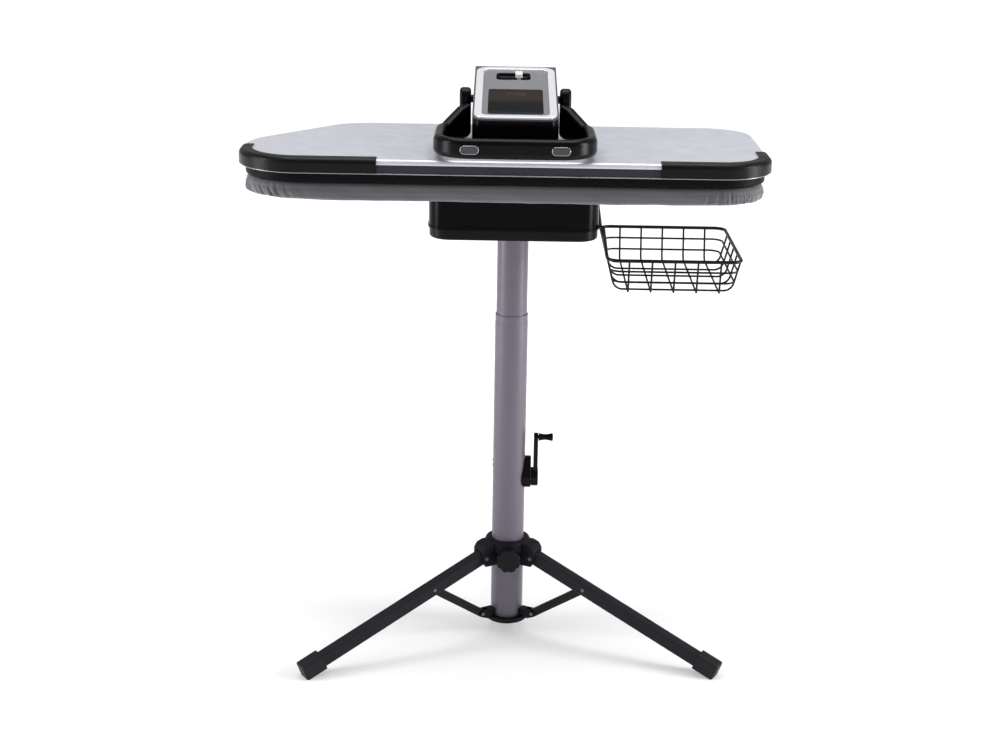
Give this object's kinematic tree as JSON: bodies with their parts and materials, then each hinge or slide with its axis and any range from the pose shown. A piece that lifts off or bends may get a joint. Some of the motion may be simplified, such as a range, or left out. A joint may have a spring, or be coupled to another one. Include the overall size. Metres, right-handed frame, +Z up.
{
  "type": "steam ironing press on a stand",
  "caption": "Flat-bed steam ironing press with a hinged heated plate, padded board, sloping control console and loop handle, on a crank-raised column with a folding tripod.",
  "frame": {"origin": "on the floor under the axis of the column", "axes": "+Z up, -Y towards the person at the press, +X to their right"},
  "size_m": [0.917, 0.6839, 1.049],
  "materials": {
    "column_paint": "satin metallic lavender grey",
    "leg_paint": "satin charcoal",
    "zinc_steel": "zinc plated, dull silver",
    "charcoal_plastic": "fine textured charcoal moulding",
    "black_plastic": "satin black moulding",
    "gloss_black": "gloss black moulding",
    "black_wire": "black coated wire",
    "dark_rubber": "matte dark rubber",
    "plate_silver": "silver lavender metallic paint",
    "skirt_grey": "dark grey satin side band",
    "shoe_aluminium": "dark coated cast aluminium",
    "foam": "open cell foam",
    "pad_cloth": "grey woven cover with a gathered elastic hem",
    "pan_metal": "mill finish sheet",
    "steel_bright": "bright steel",
    "console_grey": "fine grained grey cover",
    "bezel_silver": "glossy silver white",
    "panel_grey": "satin grey panel",
    "display_dark": "dark tinted display window",
    "board_green": "printed circuit board",
    "tank_clear": "translucent water tank",
    "pump_white": "white moulding",
    "knob_white": "white slider"
  },
  "bodies": {
    "stand": {"outer_tube": "column_paint", "tube_bush": "column_paint", "housing_rivets": "steel_bright", "lower_hub": "charcoal_plastic", "hub_pins": "zinc_steel", "crank_housing": "black_plastic"},
    "collar": {"leg_collar": "charcoal_plastic", "collar_pins": "zinc_steel"},
    "knob": {"clamp_knob": "charcoal_plastic"},
    "leg_left": {"leg_left": "leg_paint", "foot_left": "dark_rubber", "brace_rivets_left": "zinc_steel"},
    "leg_right": {"leg_right": "leg_paint", "foot_right": "dark_rubber", "brace_rivets_right": "zinc_steel"},
    "leg_rear": {"leg_rear": "leg_paint", "foot_rear": "dark_rubber", "brace_rivets_rear": "zinc_steel"},
    "brace_left": {"brace_left": "leg_paint"},
    "brace_right": {"brace_right": "leg_paint"},
    "brace_rear": {"brace_rear": "leg_paint"},
    "crank": {"crank_shaft": "steel_bright", "crank_arm": "black_plastic"},
    "grip": {"crank_grip": "black_plastic"},
    "mast": {"inner_tube": "column_paint", "gear_rack": "charcoal_plastic", "mount_flange": "black_plastic", "mount_bolts": "steel_bright", "base_tray": "black_plastic", "base_housing": "gloss_black", "cable_gland": "dark_rubber", "board_pan": "pan_metal", "foam_pad": "foam", "pad_cover": "pad_cloth", "hinge_bracket": "steel_bright", "hinge_pin": "steel_bright", "hinge_springs": "steel_bright"},
    "basket": {"basket_rim": "black_wire", "basket_wires": "black_wire"},
    "arm": {"arm_frame": "steel_bright", "arm_housing": "gloss_black", "arm_cover": "console_grey", "panel_bezel": "bezel_silver", "control_panel": "panel_grey", "display_glass": "display_dark", "control_board": "board_green", "water_tank": "tank_clear", "water_pump": "pump_white", "handle_pins": "gloss_black", "plate_hanger": "shoe_aluminium", "plate_cover": "plate_silver", "plate_skirt": "skirt_grey", "heating_shoe": "shoe_aluminium", "heating_element": "steel_bright", "corner_guard_left": "black_plastic", "corner_guard_right": "black_plastic"},
    "slider": {"slider_knob": "knob_white"},
    "handle": {"handle": "black_plastic"},
    "button_left": {"steam_button_left": "gloss_black"},
    "button_right": {"steam_button_right": "gloss_black"}
  },
  "joints": [
    {"name": "collar_slide", "type": "slide", "parent": "stand", "child": "collar", "axis": [0, 0, 1], "range_m": [0, 0.08]},
    {"name": "knob_turn", "type": "hinge", "parent": "collar", "child": "knob", "pos_m": [0, 0, 0.158], "axis": [0.0384, -0.9993, 0], "range_deg": [0, 720]},
    {"name": "leg_fold_left", "type": "hinge", "parent": "collar", "child": "leg_left", "pos_m": [-0.04739, -0.02984, 0.157], "axis": [0.5329, -0.8462, 0], "range_deg": [0, 28.6]},
    {"name": "leg_fold_right", "type": "hinge", "parent": "collar", "child": "leg_right", "pos_m": [0.04954, -0.02612, 0.157], "axis": [0.4664, 0.8846, 0], "range_deg": [0, 28.6]},
    {"name": "leg_fold_rear", "type": "hinge", "parent": "collar", "child": "leg_rear", "pos_m": [-0.00215, 0.05596, 0.157], "axis": [-0.9993, -0.0384, 0], "range_deg": [0, 28.6]},
    {"name": "brace_fold_left", "type": "hinge", "parent": "stand", "child": "brace_left", "pos_m": [-0.04823, -0.03037, 0.04], "axis": [-0.5329, 0.8462, 0], "range_deg": [0, 20.6]},
    {"name": "brace_fold_right", "type": "hinge", "parent": "stand", "child": "brace_right", "pos_m": [0.05042, -0.02658, 0.04], "axis": [-0.4664, -0.8846, 0], "range_deg": [0, 20.6]},
    {"name": "brace_fold_rear", "type": "hinge", "parent": "stand", "child": "brace_rear", "pos_m": [-0.00219, 0.05696, 0.04], "axis": [0.9993, 0.0384, 0], "range_deg": [0, 20.6]},
    {"name": "mast_lift", "type": "slide", "parent": "stand", "child": "mast", "axis": [0, 0, 1], "range_m": [-0.15, 0.05]},
    {"name": "crank_turn", "type": "hinge", "parent": "stand", "child": "crank", "pos_m": [0, 0, 0.308], "axis": [1, 0, 0], "range_deg": [-820, 275]},
    {"name": "grip_spin", "type": "hinge", "parent": "crank", "child": "grip", "pos_m": [0.054, 0, 0.3865], "axis": [1, 0, 0], "continuous": true},
    {"name": "basket_pull", "type": "slide", "parent": "mast", "child": "basket", "axis": [1, 0, 0], "range_m": [0, 0.018]},
    {"name": "arm_lift", "type": "hinge", "parent": "mast", "child": "arm", "pos_m": [0, 0.25, 0.885], "axis": [-1, 0, 0], "range_deg": [0, 45]},
    {"name": "slider_move", "type": "slide", "parent": "arm", "child": "slider", "axis": [1, 0, 0], "range_m": [-0.035, 0.015]},
    {"name": "handle_lift", "type": "hinge", "parent": "arm", "child": "handle", "pos_m": [0, 0.04, 1.008], "axis": [-1, 0, 0], "range_deg": [0, 20]},
    {"name": "button_press_left", "type": "slide", "parent": "handle", "child": "button_left", "axis": [0, 1, 0], "range_m": [0, 0.002], "stiffness_N_per_m": 600},
    {"name": "button_press_right", "type": "slide", "parent": "handle", "child": "button_right", "axis": [0, 1, 0], "range_m": [0, 0.002], "stiffness_N_per_m": 600}
  ],
  "couplings": [
    {"joint": "leg_fold_left", "follows": "collar_slide", "rad_per_m": 6.222},
    {"joint": "leg_fold_right", "follows": "collar_slide", "rad_per_m": 6.222},
    {"joint": "leg_fold_rear", "follows": "collar_slide", "rad_per_m": 6.222},
    {"joint": "brace_fold_left", "follows": "collar_slide", "rad_per_m": 4.4731},
    {"joint": "brace_fold_right", "follows": "collar_slide", "rad_per_m": 4.4731},
    {"joint": "brace_fold_rear", "follows": "collar_slide", "rad_per_m": 4.4731},
    {"joint": "crank_turn", "follows": "mast_lift", "rad_per_m": 95.238}
  ]
}
